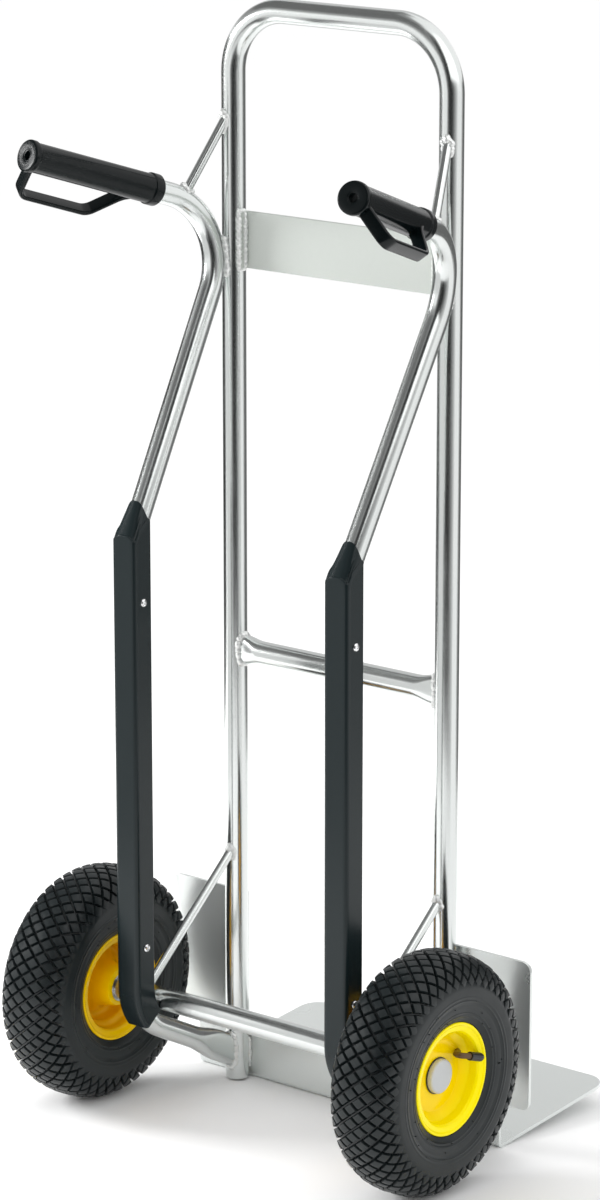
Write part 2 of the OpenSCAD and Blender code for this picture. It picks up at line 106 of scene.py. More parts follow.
# ---- where the frame stands
tyre_low, tyre_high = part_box("tyre_right")
AXLE = (tyre_low + tyre_high) / 2
AXLE_Z = TYRE_R
HEEL_REACH = hypot(HEEL_Y, HEEL_Z - AXLE_Z)
LEAN = asin((HEEL_R - AXLE_Z) / HEEL_REACH) - atan2(HEEL_Z - AXLE_Z, HEEL_Y)
STAND = (Matrix.Translation((0, AXLE.y, AXLE.z)) @ Matrix.Rotation(LEAN, 4, "X")
         @ Matrix.Scale(MM, 4) @ Matrix.Translation((0, 0, -AXLE_Z)))
SIDES = (("left", -1), ("right", 1))


def wheel_space(s):
    """Wheel axes to the part's frame: x points outwards along the axle, y forwards and z up."""
    return Matrix.Translation((s * AXLE.x, AXLE.y, AXLE.z)) @ Matrix.Diagonal((s * MM, MM, MM, 1))


# ---- mesh building
class Shape:
    """Vertices in millimetres, faces, and a UV pair in metres for each face corner."""

    def __init__(self):
        self.verts, self.faces, self.uvs, self.mats = [], [], [], []

    def vert(self, p):
        self.verts.append(Vector(p))
        return len(self.verts) - 1

    def face(self, ids, uvs=None):
        self.faces.append(tuple(ids))
        self.uvs.append(uvs or [(0.0, 0.0)] * len(ids))
        self.mats.append(0)

    def grid(self, rows, closed_v=True, closed_u=False):
        """Quads between rows of ids. closed_v joins each row's ends, closed_u the last row to the first."""
        n, m = len(rows), len(rows[0])
        for i in range(n if closed_u else n - 1):
            a, b = rows[i], rows[(i + 1) % n]
            for j in range(m if closed_v else m - 1):
                k = (j + 1) % m
                u0, u1 = i / n, (i + 1) / n
                v0, v1 = j / m, (j + 1) / m
                self.face((a[j], a[k], b[k], b[j]), [(v0, u0), (v1, u0), (v1, u1), (v0, u1)])

    def cap(self, row, flip=False):
        """A fan that closes a ring of vertices."""
        c = self.vert(sum((self.verts[i] for i in row), Vector()) / len(row))
        for j in range(len(row)):
            k = (j + 1) % len(row)
            self.face((row[k], row[j], c) if flip else (row[j], row[k], c))

    def join(self, other, matrix=None):
        base = len(self.verts)
        self.verts += [matrix @ v for v in other.verts] if matrix else [v.copy() for v in other.verts]
        self.faces += [tuple(i + base for i in f) for f in other.faces]
        self.uvs += other.uvs
        self.mats += other.mats
        return self

    def mirrored(self):
        out = Shape()
        out.verts = [Vector((-v.x, v.y, v.z)) for v in self.verts]
        out.faces = [tuple(reversed(f)) for f in self.faces]
        out.uvs = [list(reversed(u)) for u in self.uvs]
        out.mats = list(self.mats)
        return out

    def second_material_from(self, first):
        """Faces after that many first ones take the second material."""
        self.mats = [0] * first + [1] * (len(self.faces) - first)


def build(name, shape, matrix, body, materials, stands_for=(), sharp=35):
    """The shape as a Blender object that rides on a CAD body."""
    mesh = bpy.data.meshes.new(name)
    mesh.from_pydata([matrix @ v for v in shape.verts], [], shape.faces)
    layer = mesh.uv_layers.new(name="along")
    flat = [c for uv in shape.uvs for pair in uv for c in pair]
    layer.data.foreach_set("uv", flat)
    for m in materials:
        mesh.materials.append(m)
    mesh.polygons.foreach_set("material_index", shape.mats)
    bm = bmesh.new()
    bm.from_mesh(mesh)
    bmesh.ops.remove_doubles(bm, verts=bm.verts, dist=1e-6)
    bmesh.ops.recalc_face_normals(bm, faces=bm.faces)
    bm.to_mesh(mesh)
    bm.free()
    obj = bpy.data.objects.new(name, mesh)
    bpy.context.scene.collection.objects.link(obj)
    shade(obj, sharp)
    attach(obj, body)
    if stands_for:
        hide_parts(*stands_for)
    return obj


def shade(obj, sharp):
    """Smooth shading with an edge wherever the surface turns by more than sharp degrees."""
    obj.data.polygons.foreach_set("use_smooth", [True] * len(obj.data.polygons))
    obj.data.set_sharp_from_angle(angle=radians(sharp))


def apply_modifiers(obj):
    graph = bpy.context.evaluated_depsgraph_get()
    done = bpy.data.meshes.new_from_object(obj.evaluated_get(graph))
    old = obj.data
    obj.modifiers.clear()
    obj.data = done
    bpy.data.meshes.remove(old)


# ---- routes and sections
class Route:
    """A polyline with rounded corners, measured along its length."""

    def __init__(self, points, radii):
        pts = [Vector(p) for p in points]
        self.parts, self.length = [], 0.0
        at = pts[0]
        for i in range(1, len(pts)):
            if i == len(pts) - 1:
                self._line(at, pts[i])
                continue
            d1 = (pts[i] - pts[i - 1]).normalized()
            d2 = (pts[i + 1] - pts[i]).normalized()
            ang, r = d1.angle(d2), radii[i]
            t = r * tan(ang / 2)
            self._line(at, pts[i] - d1 * t)
            centre = pts[i] + (d2 - d1).normalized() * r / cos(ang / 2)
            self.parts.append(("arc", self.length, r * ang, centre, (pts[i] - d1 * t - centre), d1, r))
            self.length += r * ang
            at = pts[i] + d2 * t

    def _line(self, a, b):
        if (b - a).length > 1e-6:
            self.parts.append(("line", self.length, (b - a).length, a, (b - a).normalized()))
            self.length += (b - a).length

    def at(self, s):
        """(point, tangent) at a distance along the route."""
        for part in self.parts:
            if s <= part[1] + part[2] + 1e-9 or part is self.parts[-1]:
                d = s - part[1]
                if part[0] == "line":
                    return part[3] + part[4] * d, part[4].copy()
                _, _, _, centre, out, d1, r = part
                a = d / r
                return (centre + out * cos(a) + d1 * r * sin(a),
                        (d1 * cos(a) - out.normalized() * sin(a)))

    def stations(self, start=0.0, stop=None, bend_step=4.0, straight_step=60.0, extra=()):
        """Distances for the rings: fine round the bends and coarse on the straights."""
        stop = self.length if stop is None else stop
        out = {start, stop, *[e for e in extra if start < e < stop]}
        for part in self.parts:
            step = part[6] * radians(bend_step) if part[0] == "arc" else straight_step
            n = max(1, round(part[2] / step))
            rings = [part[1] + part[2] * k / n for k in range(n + 1)]
            out |= {s for s in rings if start < s < stop}
        return sorted(out)


def frames(route, stations, side):
    """(point, tangent, across, up) at each station. across starts near side and turns as little as it can."""
    out, across = [], Vector(side)
    for s in stations:
        p, t = route.at(s)
        across = (across - t * across.dot(t)).normalized()
        out.append((p, t, across, t.cross(across)))
    return out


def sweep(route, stations, section, side=(1, 0, 0), closed_ends=(True, True)):
    """Rings of a section along a route. section(s) gives points across and up at the distance s."""
    shape, rows = Shape(), []
    for s, (p, _, a, b) in zip(stations, frames(route, stations, side)):
        rows.append([shape.vert(p + a * x + b * y) for x, y in section(s)])
    m = len(rows[0])
    around = pi * SIDE_D * MM
    for i in range(len(rows) - 1):
        v0, v1 = stations[i] * MM, stations[i + 1] * MM
        for j in range(m):
            k = (j + 1) % m
            u0, u1 = around * j / m, around * (j + 1) / m
            shape.face((rows[i][j], rows[i][k], rows[i + 1][k], rows[i + 1][j]),
                       [(u0, v0), (u1, v0), (u1, v1), (u0, v1)])
    if closed_ends[0]:
        shape.cap(rows[0], flip=True)
    if closed_ends[1]:
        shape.cap(rows[-1])
    shape.ends = (rows[0], rows[-1])
    return shape


def circle(r, n):
    return [(r * cos(2 * pi * k / n), r * sin(2 * pi * k / n)) for k in range(n)]


def oval(rx, ry, n, power):
    """An ellipse at power 2, squarer above it."""
    e = 2.0 / power
    out = []
    for k in range(n):
        c, s = cos(2 * pi * k / n), sin(2 * pi * k / n)
        out.append((rx * copysign(abs(c) ** e, c), ry * copysign(abs(s) ** e, s)))
    return out


def pressed(radius, ends, f, squarer):
    """Section of a tube pressed towards the half sizes ends: f is 0 where it is round and 1 at the end."""
    rx, ry = (radius + (end - radius) * f for end in ends)
    return oval(rx, ry, TUBE_SIDES, 2 + squarer * f)


def rounded_box(w, h, r, steps=4):
    """Outline of a w by h rectangle with round corners, anticlockwise."""
    out = []
    for cx, cy, a0 in ((1, 1, 0), (-1, 1, 90), (-1, -1, 180), (1, -1, 270)):
        for k in range(steps + 1):
            a = radians(a0 + 90 * k / steps)
            out.append((cx * (w / 2 - r) + r * cos(a), cy * (h / 2 - r) + r * sin(a)))
    return out


def round_corners(points, radius, steps=4, closed=True):
    """A polygon with its corners rounded. radius is one number or one for each point."""
    radii = radius if hasattr(radius, "__len__") else [radius] * len(points)
    out, n = [], len(points)
    for i, (p, r) in enumerate(zip(points, radii)):
        p = Vector(p)
        if not closed and i in (0, n - 1) or r <= 0:
            out.append(tuple(p))
            continue
        a, b = Vector(points[i - 1]) - p, Vector(points[(i + 1) % n]) - p
        half = a.angle(b) / 2
        t = min(r / tan(half), 0.49 * a.length, 0.49 * b.length)
        r = t * tan(half)
        c = p + (a.normalized() + b.normalized()).normalized() * (r / sin(half))
        d0, d1 = p + a.normalized() * t - c, p + b.normalized() * t - c
        sweep_angle = d0.angle(d1)
        for k in range(steps + 1):
            f = k / steps
            d = d0
            if sweep_angle >= 1e-6:
                part0, part1 = sin((1 - f) * sweep_angle), sin(f * sweep_angle)
                d = (d0 * part0 + d1 * part1) / sin(sweep_angle)
            out.append(tuple(c + d))
    return out


def densify(points, step):
    """The closed outline with extra points on its long sides."""
    out = []
    for a, b in zip(points, points[1:] + points[:1]):
        n = max(1, ceil(dist(a, b) / step))
        out += [(a[0] + (b[0] - a[0]) * k / n, a[1] + (b[1] - a[1]) * k / n) for k in range(n)]
    return out


def smooth(a, b, x):
    """0 at a, 1 at b and an easy curve between."""
    t = min(max((x - a) / (b - a), 0.0), 1.0)
    return t * t * (3 - 2 * t)


def lathe(profile, n, closed=True):
    """A profile of (x, r) points turned about the x axis."""
    shape = Shape()
    angles = [2 * pi * k / n for k in range(n)]
    rows = [[shape.vert((x, r * cos(a), r * sin(a))) for a in angles] for x, r in profile]
    for i in range(len(rows) if closed else len(rows) - 1):
        a, b = rows[i], rows[(i + 1) % len(rows)]
        for j in range(n):
            k = (j + 1) % n
            u0, u1 = i / len(rows), (i + 1) / len(rows)
            v0, v1 = j / n, (j + 1) / n
            shape.face((a[j], a[k], b[k], b[j]), [(u0, v0), (u0, v1), (u1, v1), (u1, v0)])
    return shape


BEAD_SIDES = 10
BEAD_LUMPS = 64


def bead(points, radius, pitch=3.4, closed=True, lift=0.28):
    """A weld run along a line of points, with the uneven lumps that the torch leaves."""
    dice = random.Random(int(radius * 100 + pitch * 10))
    lumps = [dice.uniform(0.70, 1.14) for _ in range(BEAD_LUMPS)]
    pts = [Vector(p) for p in points]
    if closed:
        pts.append(pts[0])
    steps, total = [0.0], 0.0
    for a, b in zip(pts, pts[1:]):
        total += (b - a).length
        steps.append(total)
    count = max(8, int(total / pitch * 4))
    shape, rows, k = Shape(), [], 0
    turns = [2 * pi * j / BEAD_SIDES for j in range(BEAD_SIDES)]
    for s in (total * i / count for i in range(count if closed else count + 1)):
        while k < len(steps) - 2 and steps[k + 1] < s:
            k += 1
        t = (pts[k + 1] - pts[k]).normalized()
        p = pts[k] + t * (s - steps[k])
        a = (a - t * a.dot(t)).normalized() if rows else t.orthogonal().normalized()
        b = t.cross(a)
        # lumps at an uneven pitch that still closes where a ring meets itself
        at_lump = s / total * round(total / pitch * 0.8)
        at_lump += (0.32 * sin(s * 0.41) + 0.2 * sin(s * 0.93)) * (min(s, total - s) / total) ** 0.3
        low, high = (lumps[(int(at_lump) + step) % (BEAD_LUMPS - 1)] for step in (0, 1))
        swell = low + (high - low) * (at_lump % 1)
        r = radius * (1 - lift / 2 + lift * abs(sin(pi * at_lump))) * swell
        if not closed:
            r *= sqrt(max(0.02, 1 - (2 * s / total - 1) ** 8))
        rows.append([shape.vert(p + (a * cos(q) + b * sin(q)) * r) for q in turns])
    shape.grid(rows, closed_u=closed)
    if not closed:
        shape.cap(rows[0], flip=True)
        shape.cap(rows[-1])
    return shape


def blob(centre, size, seed):
    """An uneven ball of weld metal."""
    dice = random.Random(seed)
    shape, rows = Shape(), []
    rings, sides = 8, 12
    for i in range(1, rings):
        tilt = pi * (i / rings - 0.5)
        wide, row = cos(tilt), []
        for j in range(sides):
            turn = 2 * pi * j / sides
            out = Vector((wide * cos(turn), wide * sin(turn), sin(tilt)))
            row.append(shape.vert(centre + out * size * dice.uniform(0.88, 1.12)))
        rows.append(row)
    shape.grid(rows)
    shape.cap(rows[0], flip=True)
    shape.cap(rows[-1])
    return shape


def meets(origin, direction, across, up, section, inside, reach=90.0):
    """Where each line of a section, run along direction from origin, enters another piece."""
    coarse, halvings = 1.5, 12
    out = []
    for x, y in section:
        start = origin + across * x + up * y
        lo = hi = 0.0
        while hi < reach and not inside(start + direction * hi):
            lo, hi = hi, hi + coarse
        for _ in range(halvings):
            mid = (lo + hi) / 2
            lo, hi = (lo, mid) if inside(start + direction * mid) else (mid, hi)
        out.append(start + direction * lo)
    return out


SIDE = Route(list(reversed(SIDE_PATH)), list(reversed(SIDE_RADII)))
SIDE_PTS = [SIDE.at(3.0 * k)[0] for k in range(int(SIDE.length / 3) + 1)]


def touch_lines(axis_point, s0, s1, spread):
    """The two grooves beside the line where the side tube touches another round tube."""
    lines = ([], [])
    for s in range(s0, s1 + 1, 2):
        p, t = SIDE.at(s)
        q = axis_point(p)
        across = (q - p).cross(t).normalized()
        mid = p + (q - p) * 0.5
        lines[0].append(mid + across * spread)
        lines[1].append(mid - across * spread)
    return lines


def in_upright(p):
    return hypot(abs(p.x) - UPRIGHT_X, p.y - UPRIGHT_Y) < TUBE_D / 2


def in_side_tube(p):
    q = Vector((abs(p.x), p.y, p.z))
    return min((q - c).length_squared for c in SIDE_PTS if abs(c.z - q.z) < 30) < (SIDE_D / 2) ** 2


# ---- materials
def new_material(name, **values):
    mat = bpy.data.materials.new(name)
    mat.use_nodes = True
    shader = mat.node_tree.nodes["Principled BSDF"]
    for key, value in values.items():
        shader.inputs[key.replace("_", " ")].default_value = value
    return mat, mat.node_tree, shader


def add(tree, kind, **settings):
    node = tree.nodes.new(kind)
    for key, value in settings.items():
        if hasattr(node, key):
            setattr(node, key, value)
        else:
            node.inputs[key.replace("_", " ")].default_value = value
    return node


def ramp(tree, source, low, high, a=0.0, b=1.0):
    """A float run through a straight map from a..b to low..high."""
    node = add(tree, "ShaderNodeMapRange", From_Min=a, From_Max=b, To_Min=low, To_Max=high)
    tree.links.new(source, node.inputs["Value"])
    return node.outputs["Result"]


def bump(tree, shader, source, strength, distance):
    node = add(tree, "ShaderNodeBump", Strength=strength, Distance=distance)
    tree.links.new(source, node.inputs["Height"])
    tree.links.new(node.outputs["Normal"], shader.inputs["Normal"])


def roughen(tree, shader, source, low, high, a=0.0, b=1.0):
    """Roughness that follows a float as ramp() maps it."""
    tree.links.new(ramp(tree, source, low, high, a, b), shader.inputs["Roughness"])


def noise(tree, scale, detail=3.0, stretch=None, coords="Object"):
    source = add(tree, "ShaderNodeTexCoord").outputs[coords]
    if stretch:
        mapping = add(tree, "ShaderNodeMapping", Scale=stretch)
        tree.links.new(source, mapping.inputs["Vector"])
        source = mapping.outputs["Vector"]
    tex = add(tree, "ShaderNodeTexNoise", Scale=scale, Detail=detail)
    tree.links.new(source, tex.inputs["Vector"])
    return tex.outputs["Fac"]


def polished_tube():
    """Bright drawn aluminium: a clear mirror with fine lengthwise drawing lines."""
    mat, tree, shader = new_material("tube_polished", Base_Color=(0.74, 0.765, 0.755, 1), Metallic=1.0)
    lines = noise(tree, 55.0, 4.0, (14.0, 0.25, 1.0), "UV")
    smear = noise(tree, 14.0, 2.0, (1.0, 1.0, 0.6))
    mix = add(tree, "ShaderNodeMath", operation="MULTIPLY")
    tree.links.new(lines, mix.inputs[0])
    tree.links.new(smear, mix.inputs[1])
    roughen(tree, shader, mix.outputs[0], 0.15, 0.27, 0.1, 0.45)
    bump(tree, shader, lines, 0.05, 0.0004)
    return mat


def weld_metal():
    """Pale, rough and lumpy: the uncut bead of an aluminium weld."""
    mat, tree, shader = new_material("weld_bead", Base_Color=(0.88, 0.89, 0.88, 1), Metallic=0.75)
    fine = noise(tree, 420.0, 2.0)
    roughen(tree, shader, fine, 0.30, 0.55)
    bump(tree, shader, fine, 0.5, 0.0008)
    return mat


def satin_sheet():
    """Mill-finish sheet: even and light."""
    mat, tree, shader = new_material("sheet_satin", Base_Color=(0.78, 0.81, 0.795, 1), Metallic=0.8)
    cloud = noise(tree, 9.0, 2.0)
    roughen(tree, shader, cloud, 0.265, 0.30, 0.3, 0.7)
    return mat


def plain(name, colour, rough, spread, scale, detail, relief=None, **values):
    """One colour, with a fine unevenness in its roughness and, where relief is given, in its surface."""
    mat, tree, shader = new_material(name, Base_Color=(*colour, 1), **values)
    fine = noise(tree, scale, detail)
    roughen(tree, shader, fine, rough * spread[0], rough * spread[1], 0.3, 0.7)
    if relief:
        bump(tree, shader, fine, *relief)
    return mat


def gloss_black(name, level, rough, grain, shine):
    """Black plastic with a cool tint."""
    return plain(name, (level * 0.75, level * 1.35, level * 1.5), rough, (0.94, 1.06), grain, 3.0,
                 (0.015, 0.0005), Specular_IOR_Level=shine)


def plain_metal(name, level, rough):
    return plain(name, (level, level, level * 1.01), rough, (0.8, 1.25), 200.0, 3.0, (0.05, 0.0003),
                 Metallic=1.0)


def plain_plastic(name, colour, rough, **values):
    return plain(name, colour, rough, (0.9, 1.15), 240.0, 2.0, **values)


def rubber(name, level, rough):
    """Dusty black rubber with a cool tint."""
    mat, tree, shader = new_material(name, Base_Color=(level * 0.85, level * 1.25, level * 1.35, 1),
                                     Specular_IOR_Level=0.38)
    dust = noise(tree, 60.0, 5.0)
    fine = noise(tree, 900.0, 2.0)
    roughen(tree, shader, dust, rough * 0.85, rough * 1.15, 0.3, 0.7)
    bump(tree, shader, fine, 0.12, 0.0003)
    return mat


def yellow_paint_and_painted_shade():
    """Glossy yellow with painted shade: it deepens towards orange inside the rim's dish and on the side that
    faces the truck.
    """
    mat, tree, shader = new_material("rim_yellow_painted_shade", Specular_IOR_Level=0.42,
                                     Specular_Tint=(1.0, 0.84, 0.15, 1))
    peel = noise(tree, 160.0, 2.0)
    roughen(tree, shader, peel, 0.10, 0.17)
    # painted shade: the base colour darkens to orange towards the truck, across the rim's width
    place = add(tree, "ShaderNodeTexCoord")
    split = add(tree, "ShaderNodeSeparateXYZ")
    tree.links.new(place.outputs["Object"], split.inputs[0])
    from_truck = add(tree, "ShaderNodeMath", operation="ABSOLUTE")
    tree.links.new(split.outputs[0], from_truck.inputs[0])
    mix = add(tree, "ShaderNodeValToRGB")
    stops = mix.color_ramp.elements
    # painted shade, from the rim's inner edge, at 0, in orange, to its outer edge, at 1, in yellow
    stops[0].color, stops[1].color = (0.92, 0.58, 0.0, 1), (1.0, 0.84, 0.0, 1)
    stops[1].position = 0.84
    for at, red, green in ((0.18, 0.80, 0.42), (0.50, 0.86, 0.46), (0.72, 1.0, 0.72)):
        stops.new(at).color = (red, green, 0.0, 1)
    half = RIM_HALF * MM
    across = ramp(tree, from_truck.outputs[0], 0.0, 1.0, AXLE.x - half, AXLE.x + half)
    tree.links.new(across, mix.inputs[0])
    tree.links.new(mix.outputs[0], shader.inputs["Base Color"])
    bump(tree, shader, peel, 0.05, 0.0005)
    return mat


TUBE = polished_tube()
WELD = weld_metal()
PLATE = plain_plastic("plate_anodised", (0.52, 0.55, 0.52), 0.45, Metallic=0.35)
SHEET = satin_sheet()
SKID = gloss_black("skid_plastic", 0.0100, 0.25, 30.0, 0.29)
GRIP = gloss_black("grip_plastic", 0.0035, 0.19, 25.0, 0.24)
TYRE = rubber("tyre_rubber", 0.0098, 0.36)
RIM_PAINT_AND_SHADE = yellow_paint_and_painted_shade()
SCREW = plain_metal("screw_chrome", 0.86, 0.16)
STEEL = plain_metal("steel_turned", 0.58, 0.30)
CAP = plain_plastic("cap_grey", (0.52, 0.54, 0.56), 0.38)
VALVE_CAP = plain_plastic("valve_cap_black", (0.015, 0.015, 0.016), 0.35)
STEM = plain_plastic("valve_stem_dark", (0.10, 0.05, 0.015), 0.3)


def piece(name, shape, materials, stands_for=(), sharp=60):
    return build(name, shape, STAND, "frame", materials, stands_for, sharp)


def on_side(shape, s):
    """The right side's shape for s = 1 and its mirror image for s = -1."""
    return shape if s > 0 else shape.mirrored()


def open_tube(shape, wall, depth):
    """Turns the open ends of a swept tube into hollow ones."""
    for ring, inner_way in zip(shape.ends, (1, -1)):
        pts = [shape.verts[i] for i in ring]
        mid = sum(pts, Vector()) / len(pts)
        normal = (pts[1] - pts[0]).cross(pts[2] - pts[1]).normalized() * inner_way
        r = (pts[0] - mid).length
        rows = [ring, [shape.vert(mid + (p - mid) * (1 - wall / r)) for p in pts]]
        rows.append([shape.vert(shape.verts[i] + normal * depth) for i in rows[1]])
        shape.grid(rows)
        shape.cap(rows[-1])
    return shape


# ---- main frame and its cross pieces
def main_frame():
    corners = ((-1, UPRIGHT_FOOT), (-1, FRAME_TOP), (1, FRAME_TOP), (1, UPRIGHT_FOOT))
    route = Route([(s * UPRIGHT_X, UPRIGHT_Y, z) for s, z in corners], [0, LOOP_R, LOOP_R, 0])
    shape = sweep(route, route.stations(bend_step=3), lambda s: circle(TUBE_D / 2, TUBE_SIDES),
                  closed_ends=(False, False))
    piece("main_frame_tube", open_tube(shape, WALL, HOLLOW), [TUBE], ["main_frame"], sharp=50)


def side_tubes():
    start, axis = SIDE.at(0)
    # the foot is sunk in the upright, fully pressed up to pressed_to and round from round_from on
    sunk, pressed_to, round_from, squarer = 10, 26, 78, 1.2
    reach = Route([tuple(start - axis * sunk)] + list(reversed(SIDE_PATH))[1:], list(reversed(SIDE_RADII)))

    def section(s):
        return pressed(SIDE_D / 2, SIDE_PRESSED, smooth(round_from, pressed_to, s - sunk), squarer)

    fine = [6 * k for k in range(1, 18)]
    tube = sweep(reach, reach.stations(0, reach.length - 5, bend_step=3, extra=fine), section)
    across = Vector((1, 0, 0)) - axis * axis.x
    across.normalize()
    outline = pressed(SIDE_D / 2, SIDE_PRESSED, 1.0, squarer)
    foot_line = meets(start + axis * 60, -axis, across, axis.cross(across), outline, in_upright)
    parts = [tube, bead(foot_line, 2.9, pitch=4.4, lift=0.5)]
    for line in touch_lines(lambda p: Vector((UPRIGHT_X, UPRIGHT_Y, p.z)), 1004, 1050, 5.2):
        parts.append(bead(line, 4.0, pitch=5.2, closed=False, lift=0.5))
    for line in touch_lines(lambda p: Vector((p.x, 0, AXLE_Z)), 168, 200, 6.0):
        parts.append(bead(line, 4.2, pitch=5.2, closed=False, lift=0.4))
    for word, s in SIDES:
        shape = Shape()
        for part in parts:
            shape.join(on_side(part, s))
        shape.second_material_from(len(tube.faces))
        piece(f"handle_tube_{word}_shell", shape, [TUBE, WELD], [f"handle_tube_{word}"])


def crossbar():
    half = UPRIGHT_X - 4
    route = Route([(-half, UPRIGHT_Y, CROSSBAR_Z), (half, UPRIGHT_Y, CROSSBAR_Z)], [0, 0])

    def section(s):
        return pressed(CROSSBAR_R, CROSSBAR_PRESSED, smooth(34, 8, min(s, route.length - s)), 1)

    near_end = [4 * k for k in range(1, 12)]
    stations = route.stations(extra=near_end + [route.length - s for s in near_end])
    shape = sweep(route, stations, section, side=(0, 0, 1))
    bar_faces, lumps = len(shape.faces), 5
    for s in (-1, 1):
        line = meets(Vector((s * (half - 40), UPRIGHT_Y, CROSSBAR_Z)), Vector((s, 0, 0)), Vector((0, 0, 1)),
                     Vector((0, 1, 0)), pressed(CROSSBAR_R, CROSSBAR_PRESSED, 1.0, 1), in_upright)
        shape.join(bead(line, 3.3, pitch=4.8, lift=0.45))
        for seed in range(lumps):
            shape.join(blob(Vector(line[seed * len(line) // lumps]), 4.2, seed))
    shape.second_material_from(bar_faces)
    piece("crossbar_tube", shape, [TUBE, WELD], ["middle_crossbar"])


def back_plate():
    half = UPRIGHT_X - TUBE_D / 2 - 0.1 - PLATE_T / 2
    y = UPRIGHT_Y + 2 + PLATE_T / 2
    z, back = PLATE_Z, UPRIGHT_Y - PLATE_BACK
    route = Route([(-half, back, z), (-half, y, z), (half, y, z), (half, back, z)], [0, 3.5, 3.5, 0])
    shape = sweep(route, route.stations(bend_step=10), lambda s: rounded_box(PLATE_H, PLATE_T, 1.3),
                  side=(0, 0, 1))
    strip_faces = len(shape.faces)
    for s in (-1, 1):
        # three upright beads at each folded end, then one along its top and one along its bottom
        lines = []
        for x, side_y, span, r in ((half + 1.0, UPRIGHT_Y + 5.5, 24, 2.8), (half + 0.4, back, 31, 3.1),
                                   (half - 1.6, UPRIGHT_Y - 1, 30, 2.6)):
            lines.append(([(s * x, side_y, z - span + k * span / 10) for k in range(21)], r))
        for side_z in (-PLATE_H / 2, PLATE_H / 2):
            lines.append(([(s * (half + 0.6), UPRIGHT_Y - 10 + k, z + side_z) for k in range(13)], 2.6))
        for line, r in lines:
            shape.join(bead(line, r, pitch=4.6, closed=False, lift=0.5))
    shape.second_material_from(strip_faces)
    piece("back_plate_strip", shape, [PLATE, WELD], ["back_plate"], sharp=50)


def braces():
    for kind, a, b in BRACES:
        route = Route([a, b], [0, 0])
        d = (b - a).normalized()
        across = d.orthogonal().normalized()
        up = d.cross(across)
        mid = (a + b) / 2
        stations = route.stations(2, route.length - 2, straight_step=20)
        rod = sweep(route, stations, lambda s: circle(BRACE_R, 28))
        ends = [meets(mid, -d, across, up, circle(BRACE_R, 32), in_upright, 150),
                meets(mid, d, across, up, circle(BRACE_R, 32), in_side_tube, 150)]
        for word, s in SIDES:
            shape = Shape().join(on_side(rod, s))
            for line in ends:
                ring = bead(line, 2.7, pitch=4.0, lift=0.4)
                for seed in range(3):
                    ring.join(blob(Vector(line[seed * len(line) // 3]), 3.7, seed))
                ring.join(blob(Vector(max(line, key=lambda p: p[2])), 4.8, 5))
                shape.join(on_side(ring, s))
            shape.second_material_from(len(rod.faces))
            piece(f"{kind}_brace_{word}_rod", shape, [TUBE, WELD], [f"{kind}_brace_{word}"])


def axle_tube():
    half, bore, r = 164.0, 10.05, SIDE_D / 2
    profile = round_corners([(-half, bore), (-half, r), (half, r), (half, bore)], [0.6, 0.8, 0.8, 0.6], 3)
    shape = Shape().join(lathe(profile, 56), Matrix.Translation((0, 0, AXLE_Z)))
    piece("axle_tube_shell", shape, [TUBE], ["axle_tube"], sharp=40)


# ---- toe plate
def toe_plate():
    mid_r = HEEL_R - SHEET_T / 2
    turn = radians(90) + BLADE_TILT
    arc = mid_r * turn
    reach = BLADE_DEPTH - HEEL_R

    def fold(x, w):
        """Flat sheet to folded: w is 0 where the flange meets the heel bend and grows towards the blade."""
        if w <= 0:
            return Vector((x, HEEL_Y - mid_r, HEEL_Z - w))
        if w < arc:
            a = pi + w / mid_r
            return Vector((x, HEEL_Y + mid_r * cos(a), HEEL_Z + mid_r * sin(a)))
        d, c, s = w - arc, cos(BLADE_TILT), sin(BLADE_TILT)
        return Vector((x, HEEL_Y + d * c + mid_r * s, HEEL_Z + d * s - mid_r * c))

    low, high, flange = HEEL_Z - GUARD_LOW, HEEL_Z - GUARD_HIGH, HEEL_Z - FLANGE_TOP
    inner = UPRIGHT_X - 4
    # the flat sheet's right half from the blade's corner to the flange: x, w and corner radius
    right = [(BLADE_HALF, arc + reach, 24), (BLADE_HALF, low, 4), (GUARD_HALF, low, 9),
             (GUARD_HALF, high, 11), (inner, high, 2), (inner, flange, 3)]
    corners = right + [(-x, w, r) for x, w, r in reversed(right)]
    outline = round_corners([c[:2] for c in corners], [c[2] for c in corners], 7)
    bm = bmesh.new()
    bm.faces.new([bm.verts.new((x, w, 0)) for x, w in outline])
    cuts = [((0, w, 0), (0, 1, 0)) for w in [arc * k / 8 for k in range(9)] + [low, flange, low + 8]]
    cuts += [((x, 0, 0), (1, 0, 0)) for x in (-BLADE_HALF, -inner, 0, inner, BLADE_HALF)]
    for place, normal in cuts:
        everything = bm.verts[:] + bm.edges[:] + bm.faces[:]
        bmesh.ops.bisect_plane(bm, geom=everything, plane_co=place, plane_no=normal)
    bm.verts.ensure_lookup_table()
    shape = Shape()
    shape.verts = [fold(v.co.x, v.co.y) for v in bm.verts]
    flat = [(v.co.x * MM, v.co.y * MM) for v in bm.verts]
    for f in bm.faces:
        shape.face([v.index for v in f.verts], [flat[v.index] for v in f.verts])
    bm.free()
    sheet = piece("toe_plate_sheet", shape, [SHEET, WELD], ["toe_plate"], sharp=30)
    mod = sheet.modifiers.new("thick", "SOLIDIFY")
    mod.thickness, mod.offset, mod.use_even_offset = SHEET_T * MM, 0, True
    apply_modifiers(sheet)
    mod = sheet.modifiers.new("edge", "BEVEL")
    mod.width, mod.segments, mod.limit_method, mod.angle_limit = 0.9 * MM, 3, "ANGLE", radians(50)
    apply_modifiers(sheet)
    shade(sheet, 30)
    welds = Shape()
    for s in (-1, 1):
        for k in (-1, 1):
            line = [(s * UPRIGHT_X + k * 8.6, SHEET_Y - 2.4, z) for z in range(4, 41, 2)]
            welds.join(bead(line, 3.2, closed=False))
    piece("toe_plate_welds", welds, [WELD])


